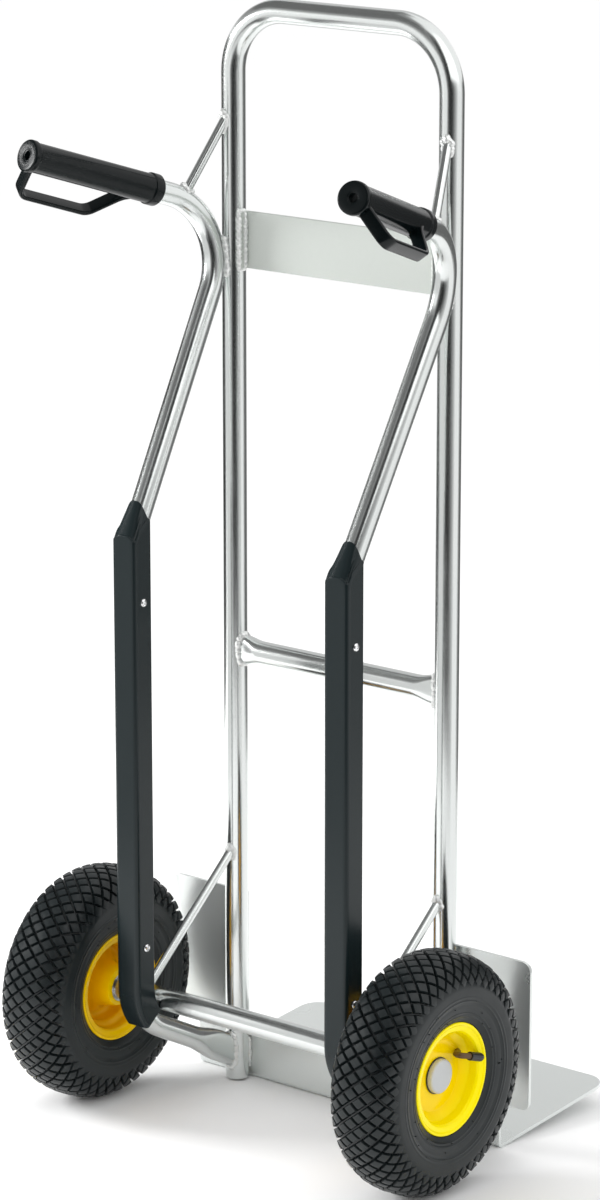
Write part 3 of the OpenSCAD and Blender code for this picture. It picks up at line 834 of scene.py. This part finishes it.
# ---- skids, screws and grips
def skids():
    bend = SIDE.parts[1]
    rail_start = bend[1] + bend[2]
    rail_z = SIDE.at(rail_start)[0].z
    foot = rail_start - SIDE_RADII[3] * SKID_WRAP
    top = rail_start + SKID_TOP - rail_z
    back = SKID_BACK - RAIL_Y
    w, inner = SKID_W / 2, SIDE_D / 2 + 0.1
    front, bed = back + SKID_DEPTH, back + 2.2
    loop = round_corners([(-w, back), (w, back), (w, front), (inner, front), (inner, bed), (-inner, bed),
                          (-inner, front), (-w, front)], [4.2, 4.2, 0.7, 0.7, 0.5, 0.5, 0.7, 0.7], 5)
    loop = densify(loop, 2.6)
    stations = SIDE.stations(foot, SIDE.parts[3][1], bend_step=3)
    channel = sweep(SIDE, stations, lambda s: loop, closed_ends=(True, False))

    def crease(x, depth):
        """Height of the skid's top edge: level across the back, lowest at the corners, then rising."""
        corner = 5.0 * smooth(w - 12, w, abs(x)) ** 1.4 * (1 - smooth(2.5, 9, depth))
        return SKID_TOP - corner + 14.5 * min(max((depth - 3.5) / 19.5, 0), 1)

    # the channel's last rows, drawn in round its outer skin to a soft edge
    rows = [channel.ends[1]]
    for drop, inset in ((8.0, 0.0), (2.6, 0.0), (1.3, 0.25), (0.5, 0.8), (0.0, 1.7)):
        row = []
        for i in channel.ends[1]:
            v = channel.verts[i]
            x, y = v.x - RAIL_X, v.y - SKID_BACK
            row.append(channel.vert((v.x - (copysign(inset, x) if abs(x) > inner + 0.8 else 0),
                                     v.y + (inset if y < 1.2 else 0), crease(x, y) - drop)))
        rows.append(row)
    # the hood: an arch that hugs the slanted tube
    crown, hug, thin, dips = 30.0, SIDE_D / 2 + 1.7, 1.5, 15.0
    reach = radians(104)
    ring = []
    for x, y in loop:
        outer = not (abs(x) <= inner + 0.01 and y >= bed - 0.01)
        r = hug if outer else hug - thin
        ang = max(min(atan2(x, -(y - 1.0)), reach), -reach)
        dip = dips * smooth(radians(12), radians(98), abs(ang))
        at, _, a, b = frames(SIDE, [top + crown - dip], (1, 0, 0))[0]
        ring.append(at + a * (r * sin(ang)) + b * (-r * cos(ang) * 1.03))
    last = [channel.verts[i].copy() for i in rows[-1]]
    for f in (0.25, 0.5, 0.75, 0.93):
        rows.append([channel.vert(p.lerp(q, f)) for p, q in zip(last, ring)])
    rows.append([channel.vert(q) for q in ring])
    channel.grid(rows)
    channel.cap(rows[-1])
    for word, s in SIDES:
        piece(f"skid_{word}_cover", on_side(channel, s), [SKID], [f"skid_{word}"], sharp=24)


def screws():
    head = [(0, 0.01), (0, 4.45), (0.9, 4.5), (1.7, 4.1), (2.35, 3.2), (2.75, 2.0), (2.8, 1.5), (1.9, 1.1),
            (1.7, 0.01)]
    shape = Shape()
    for s in (-1, 1):
        for z in SCREW_HEIGHTS:
            for k in (-1, 1):
                place = Matrix.Translation((s * RAIL_X + k * (SKID_W / 2 - 0.2), RAIL_Y - 0.5, z))
                shape.join(lathe(head, 28, closed=False), place @ Matrix.Diagonal((k, 1, 1, 1)))
    piece("skid_screw_heads", shape, [SCREW], ["skid_screws"], sharp=40)


def grips():
    p, b = Vector(SIDE_PATH[0]), Vector(SIDE_PATH[1])
    d = (b - p).normalized()
    o = (GUARD_WAY - d * GUARD_WAY.dot(d)).normalized()
    n = d.cross(o)
    place = Matrix(((d.x, o.x, n.x, p.x), (d.y, o.y, n.y, p.y), (d.z, o.z, n.z, p.z), (0, 0, 0, 1)))
    # along the grip from its end hole to its mouth
    end, seat = GRIP_LEN - 3, SIDE_D / 2 + 0.1
    outline = round_corners([(4.9, 0.02), (3, 0.02), (3, 4.6), (-2.2, 4.6), (-2.2, 6.2), (-3, 6.2),
                             (-3, COLLAR_R), (4, COLLAR_R), (5.2, GRIP_R), (158, GRIP_R), (159.5, COLLAR_R),
                             (169, COLLAR_R), (170.2, GRIP_R), (end, GRIP_R), (end, seat), (165, seat)],
                            [0, 0, 0.4, 0.5, 0.5, 0.4, 2.6, 1.4, 1.0, 1.0, 1.5, 1.5, 0.8, 0.8, 0.3, 0], 4,
                            closed=False)
    body = lathe(outline, 64, closed=False)
    line = Route([(6, 1, 0), (19.5, 50, 0), (110.5, 50, 0), (142, 7, 0)], [0, 13, 15, 0])

    def strap(s):
        f = max(smooth(14, 0, s), smooth(16, 0, line.length - s))
        return rounded_box(15 + 5 * f, 5 + 3.5 * f, 2.1, 4)

    guard = sweep(line, line.stations(bend_step=5, straight_step=6), strap, side=(0, 0, 1))
    right = Shape().join(body, place).join(guard, place)
    for word, s in SIDES:
        piece(f"grip_{word}_moulding", on_side(right, s), [GRIP], [f"grip_{word}"], sharp=45)


# ---- wheels
TYRE_HALF = 39.95
TREAD_END = 59.0  # arc distance from the crown to the last blocks
GROOVE = 4.2
BLOCKS = 50
BLOCK_V = 20.5  # a block's length across the tread, with its gap
BLOCK_GAP = 1.45
BLOCK_STEPS = 3
NUBS = 34  # on each sidewall


def carcass_line():
    """Half outline of the tyre from the crown to the bead: (arc length, x, r, normal x, normal r)."""
    half, middle_r, rise, squareness = 39.9, 95, 34.9, 0.77
    straight_r, bead_x, bead_r = 80, 32.9, 61.2
    pts = []
    for k in range(241):
        u = radians(90 - k * 0.5)
        c, s = cos(u), sin(u)
        x = half * copysign(abs(c) ** squareness, c)
        r = middle_r + rise * copysign(abs(s) ** squareness, s)
        if r < straight_r:
            break
        pts.append((x, r))
    x0, r0 = pts[-1]
    for k in range(1, 9):
        f = k / 8
        pts.append((x0 + (bead_x - x0) * f * f, r0 + (bead_r - r0) * f))
    out, arc = [], 0.0
    for i, (x, r) in enumerate(pts):
        a, b = pts[max(i - 1, 0)], pts[min(i + 1, len(pts) - 1)]
        t = Vector((b[0] - a[0], b[1] - a[1])).normalized()
        arc += dist(pts[i], pts[i - 1]) if i else 0
        out.append((arc, x, r, -t.y, t.x))
    return out


CARCASS = carcass_line()


def on_carcass(v, depth):
    """(x, r) of the point at arc distance v from the crown and depth below the surface."""
    want, i = abs(v), 0
    while i < len(CARCASS) - 2 and CARCASS[i + 1][0] < want:
        i += 1
    a, b = CARCASS[i], CARCASS[i + 1]
    f = min(max((want - a[0]) / (b[0] - a[0]), 0.0), 1.0)
    x, r, nx, nr = (a[k] + (b[k] - a[k]) * f for k in (1, 2, 3, 4))
    return copysign(1, v) * (x - nx * depth), r - nr * depth


def arc_down_to(r):
    """Arc distance from the crown at which the carcass has come down to the radius r."""
    return next(row[0] for row in CARCASS if row[2] <= r)


def groove_depth(v):
    """Depth of the grooves: full on the crown and running out towards the shoulders."""
    return GROOVE * (1 - smooth(46, TREAD_END - 1, abs(v)))


def tyre_shape():
    """Carcass with raised rings on its sidewalls and separate diamond blocks standing on its crown."""
    total = CARCASS[-1][0]
    coarse, fine = [k * 2.5 for k in range(int(total / 2.5) + 1)], [64 + k * 0.8 for k in range(34)]
    rows = sorted({*coarse, *fine, total})
    profile = []
    for v in [-v for v in reversed(rows[1:])] + rows:
        x, r = on_carcass(v, groove_depth(v))
        ridge = 0
        if abs(v) > 50:
            ridge = 0.6 * sum(exp(-((r - q) / 0.8) ** 2) for q in (67.5, 71.0, 84.0, 88.0))
        profile.append((copysign(min(abs(x) + ridge, TYRE_HALF), x), r))
    x_end, r_end = profile[-1]
    profile += [(x_end - 4, r_end - 0.2), (0, r_end), (-x_end + 4, r_end - 0.2)]
    shape = lathe(profile, 144)
    dice = random.Random(4)
    for side in (-1, 1):
        for _ in range(NUBS):
            nub(shape, side * dice.uniform(arc_down_to(86), arc_down_to(67)), dice.uniform(0, 2 * pi),
                dice.uniform(0.9, 1.5))
    for j in range(-5, 6):
        for i in range(BLOCKS):
            uc = (i + (0.5 if j % 2 else 0.0)) * 2 * pi / BLOCKS
            block(shape, uc, j * BLOCK_V / 2, BLOCK_GAP * dice.uniform(0.85, 1.2), dice)
    return shape


def nub(shape, v, ang, height):
    """A short moulding pip left on the sidewall."""
    rows = []
    for depth, r in ((0.3, 0.75), (-height * 0.7, 0.6), (-height, 0.3)):
        ring = []
        for k in range(6):
            turn = k * pi / 3
            x, rad = on_carcass(v + r * cos(turn), depth)
            x = copysign(min(abs(x), TYRE_HALF), x)
            a = ang + r * sin(turn) / rad
            ring.append(shape.vert((x, rad * sin(a), rad * cos(a))))
        rows.append(ring if v > 0 else list(reversed(ring)))
    shape.grid(rows)
    shape.cap(rows[-1])


def block(shape, uc, vc, gap, dice):
    """One diamond: a grid between its four corners, a small chamfer and a wall down to the groove."""
    half_u, half_v, steps = pi / BLOCKS, BLOCK_V / 2, BLOCK_STEPS
    arc_half = half_u * TYRE_R
    slope = hypot(arc_half, half_v)
    inset = gap * slope / (arc_half * half_v)
    tilt_a, tilt_b, sink = dice.uniform(-0.5, 0.5), dice.uniform(-0.5, 0.5), dice.uniform(0.0, 0.35)

    def place(a, b, shrink, depth):
        f = 1 - inset * shrink
        u, v = (a - b) / 2, (a + b) / 2
        vv = min(max(vc + v * 2 * half_v * f, -TREAD_END), TREAD_END)
        lift = max(sink + 0.5 + tilt_a * a + tilt_b * b - 0.9 * (a * a + b * b), 0.0) if depth < 1 else 0.0
        x, r = on_carcass(vv, max(depth + (0.57 - lift if depth < 1 else 0.0), 0.0))
        ang = uc + u * 2 * half_u * f
        return shape.vert((x, r * sin(ang), r * cos(ang)))

    ticks = [-0.5 + k / steps for k in range(steps + 1)]
    floor = groove_depth(vc)
    top = [[place(a, b, 1.28, 0.0) for b in ticks] for a in ticks]
    edge = [(i, 0) for i in range(steps)] + [(steps, j) for j in range(steps)] + \
           [(i, steps) for i in range(steps, 0, -1)] + [(0, j) for j in range(steps, 0, -1)]
    shape.grid(top, closed_v=False)
    rims = [[top[i][j] for i, j in edge]]
    for shrink, depth in ((1.0, min(0.7, floor * 0.4)), (0.45, floor + 0.5)):
        rims.append([place(ticks[i], ticks[j], shrink, depth) for i, j in edge])
    shape.grid(rims)


def rim_shape():
    """The bead side from the outer flange to the inner one, then back through the dish and the hub."""
    w, r, well = RIM_HALF, RIM_R, 15.5
    loop = [(w, r), (w - 3, r), (w - 4.4, r - 7), (w - 6.5, r - 9), (w - 15, r - 9.7), (w - 19, r - well),
            (-w + 19, r - well), (-w + 15, r - 9.7), (-w + 6.5, r - 9), (-w + 4.4, r - 7), (-w + 3, r),
            (-w, r), (-w, r - 2.5), (-w + 1.5, r - 4.5), (-w + 2.5, r - 9.5), (-w + 5, r - 11.5),
            (-w + 13.8, r - 12.2), (-w + 17.9, r - 18), (w - 27, r - 18.5), (-8, 27), (-34, 21), (-36, 16.1),
            (14, 16.1), (13.8, 20), (w - 20.3, r - 22), (w - 17.9, r - 18.5), (w - 13.6, r - 12.2),
            (w - 5, r - 11.5), (w - 2.5, r - 9.5), (w - 1.5, r - 4.5), (w, r - 2.5)]
    radii = [1.2, 1.0, 2.0, 2.0, 3.0, 3.0, 3.0, 3.0, 2.0, 2.0, 1.0, 1.2, 1.2, 2.0, 2.5, 3.0, 6.0, 6.0, 12.0,
             24.0, 1.0, 0.3, 0.3, 2.0, 4.0, 3.0, 4.0, 3.0, 2.5, 2.0, 1.2]
    return lathe(round_corners(loop, radii, 5), 112)


def wheels():
    tyre, rim = tyre_shape(), rim_shape()
    cap = lathe(round_corners([(14.2, 16.6), (14.2, 18.4), (20.9, 18.4), (20.9, 0.02)], [0.3, 0.4, 2.4, 0], 5,
                              closed=False), 64, closed=False)
    # a black ring round the hub cap's foot: painted shade for the dark gap between the cap and the rim
    cap_shade_ring = lathe(round_corners([(14.05, 16.6), (14.05, 19.7), (15.2, 19.7), (15.2, 16.6)], 0.35, 3), 64)
    # the stem leaves the well, passes out through the disc and hooks back across the dish
    way = [Vector((17, 32.5, 18.6)), Vector((23.5, 18, 21.5)), Vector((31, 13.5, 22.3)),
           Vector((35, 26.1, 19.7)), Vector((35, 48.3, 13.1))]
    tip = way.pop()
    start = way[3] + (tip - way[3]).normalized() * 1.0
    way_in, way_out = Vector((2, way[0].y, way[0].z)), start + (tip - start).normalized() * 8
    stem_route = Route([way_in, *way, way_out], [0, 5, 4, 4.5, 5, 0])
    stem_r, cap_r, rib = 3.2, 4.75, 0.05
    stem = sweep(stem_route, stem_route.stations(bend_step=10, straight_step=6), lambda s: circle(stem_r, 24))
    cap_route = Route([start, tip], [0, 0])

    def ribbed(s):
        r = cap_r - 1.0 * smooth(cap_route.length - 2.5, cap_route.length, s)
        return [(x * (1 - rib * (k % 2)), y * (1 - rib * (k % 2))) for k, (x, y) in enumerate(circle(r, 28))]

    valve_cap = sweep(cap_route, cap_route.stations(straight_step=2), ribbed)
    turned = (("tyre_tread", tyre, "tyre", TYRE, "tyre", 32),
              ("rim_pressing", rim, "rim", RIM_PAINT_AND_SHADE, "rim", 50),
              ("hub_cap_dome", cap, "cap", CAP, "hub_cap", 40),
              ("hub_cap_shade_ring", cap_shade_ring, "valve_cap", VALVE_CAP, None, 40),
              ("valve_stem", stem, "inner_tube", STEM, "inner_tube", 50),
              ("valve_cap_top", valve_cap, "valve_cap", VALVE_CAP, "valve_cap", 25))
    for word, s in SIDES:
        for name, shape, slot, mat, node, sharp in turned:
            stands_for = [f"{node}_{word}"] if node else []
            build(f"{name}_{word}", shape, wheel_space(s), f"wheel_{word}", [mat], stands_for, sharp)


main_frame()
side_tubes()
crossbar()
back_plate()
braces()
axle_tube()
toe_plate()
skids()
screws()
grips()
wheels()

# CAD pieces that stay as they are, with a better finish in their own slots
for kept in ("axle", "inner_spacers", "axle_washers", "axle_clips", "bearings_left", "bearings_right"):
    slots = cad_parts[kept].data.materials
    for i in range(len(slots)):
        slots[i] = STEEL


# ---- floor, light and camera
def stage_plane(name, corners, mat):
    """A flat piece of the stage."""
    mesh = bpy.data.meshes.new(name)
    mesh.from_pydata(corners, [], [(0, 1, 2, 3)])
    mesh.materials.append(mat)
    obj = bpy.data.objects.new(name, mesh)
    bpy.context.scene.collection.objects.link(obj)
    return obj


FLOOR_HALF = 30.0
floor_paint, _, _ = new_material("floor", Base_Color=(0.93, 0.93, 0.93, 1), Roughness=0.9,
                                 Specular_IOR_Level=0.0)
stage_plane("floor", [(x * FLOOR_HALF, y * FLOOR_HALF, 0) for x, y in ((-1, -1), (1, -1), (1, 1), (-1, 1))],
            floor_paint)

world = bpy.data.worlds.new("studio")
bpy.context.scene.world = world
world.use_nodes = True
sky = world.node_tree.nodes["Background"].inputs
sky["Color"].default_value = (1, 1, 1, 1)
sky["Strength"].default_value = 1.08

VIEW_AZ, VIEW_EL = radians(38.47), radians(14.80)
TARGET, DISTANCE, LENS = Vector((59.07, 0, 609.83)), 4418.67, 128.28
level = cos(VIEW_EL)
back = Vector((sin(VIEW_AZ) * level, -cos(VIEW_AZ) * level, sin(VIEW_EL)))
right = Vector((cos(VIEW_AZ), sin(VIEW_AZ), 0))
pose = Matrix((right, back.cross(right), back)).transposed().to_4x4()
pose.translation = TARGET + back * DISTANCE
view = STAND @ pose
camera = bpy.data.objects.new("camera", bpy.data.cameras.new("camera"))
bpy.context.scene.collection.objects.link(camera)
camera.matrix_world = Matrix.Translation(view.to_translation()) @ view.to_3x3().normalized().to_4x4()
camera.data.lens, camera.data.sensor_width, camera.data.sensor_fit = LENS, 36.0, "AUTO"
camera.data.clip_start, camera.data.clip_end = 0.1, 100.0
bpy.context.scene.camera = camera


def card(name, a0, a1, distance, low, high, strength):
    """An upright glowing sheet that only reflections see, round the truck from a0 to a1 degrees.

    Angles count to the right of the camera's own direction, as the truck sees it. The rest is in metres."""
    turns = [VIEW_AZ + radians(angle) for angle in (a0, a1)]
    (ax, ay), (bx, by) = [(sin(a) * distance, -cos(a) * distance) for a in turns]
    mat = bpy.data.materials.new(name)
    mat.use_nodes = True
    tree = mat.node_tree
    tree.nodes.clear()
    out = add(tree, "ShaderNodeOutputMaterial")
    light = add(tree, "ShaderNodeEmission", Color=(1, 1, 1, 1), Strength=strength)
    tree.links.new(light.outputs[0], out.inputs[0])
    obj = stage_plane(name, [(ax, ay, low), (bx, by, low), (bx, by, high), (ax, ay, high)], mat)
    obj.visible_camera = obj.visible_diffuse = obj.visible_shadow = obj.visible_transmission = False


# dark cards near the camera draw the long dark streak down each polished tube: from, to, height, level
DARK_CARDS = ((-38, -30, 3.2, 0.34), (-30, -22, 3.2, 0.14), (-22, 2, 3.2, 0.03), (2, 8, 1.3, 0.03),
              (8, 17, 1.3, 0.10), (17, 27, 1.3, 0.24), (27, 37, 1.3, 0.42), (37, 48, 1.3, 0.64))
for k, (a0, a1, high, level) in enumerate(DARK_CARDS):
    card(f"dark_card_{k}", a0, a1, 1.35, 0.0, high, level)
# dark behind the truck on both sides draws the tubes' edges; straight behind it is pale for the toe plate
EDGE_CARDS = ((95, 106, 0.5), (106, 150, 0.15), (150, 158, 0.5), (204, 212, 0.5), (212, 254, 0.04),
              (254, 264, 0.4))
for k, (a0, a1, level) in enumerate(EDGE_CARDS):
    card(f"edge_card_{k}", a0, a1, 1.7, 0.0, 1.3, level)
card("blade_card", 158, 204, 1.7, 0.0, 3.0, 0.68)
# pale grey to the left keeps that side of the tubes below white
for k, (a0, a1) in enumerate(((-95, -66), (-66, -38))):
    card(f"pale_card_{k}", a0, a1, 1.0, 0.0, 0.8, 0.80)
# high to the left, seen along the top bar: bands of low edge, high edge and level
HIGH_BANDS = ((1.65, 2.0, 0.55), (2.0, 2.6, 0.34), (2.6, 6.0, 0.17), (6.0, 8.5, 0.30), (8.5, 11.0, 0.5))
for k, (a0, a1) in enumerate(((-170, -140), (-140, -105), (-105, -70), (-70, -38))):
    for m, (low, high, level) in enumerate(HIGH_BANDS):
        card(f"high_card_{k}_{m}", a0, a1, 3.2, low, high, level)

key_way = Vector((-0.88, -0.45, 0.22)).normalized()
key = bpy.data.objects.new("key", bpy.data.lights.new("key", "AREA"))
key.data.shape, key.data.size, key.data.size_y, key.data.energy = "RECTANGLE", 0.9, 1.2, 75.0
bpy.context.scene.collection.objects.link(key)
key.location = key_way * 2.6 + Vector((0, 0, 0.75))
key.rotation_euler = (-key_way).to_track_quat("-Z", "Y").to_euler()
key.visible_glossy = False
# a bright window to the left draws the tubes' highlights, and a bright card high to the right the bends'
card("shine_card", -112, -90, 2.6, 0.95, 1.5, 20.0)
card("sky_card", 3, 72, 1.6, 1.36, 4.5, 1.6)

bpy.context.scene.view_settings.view_transform = "Standard"
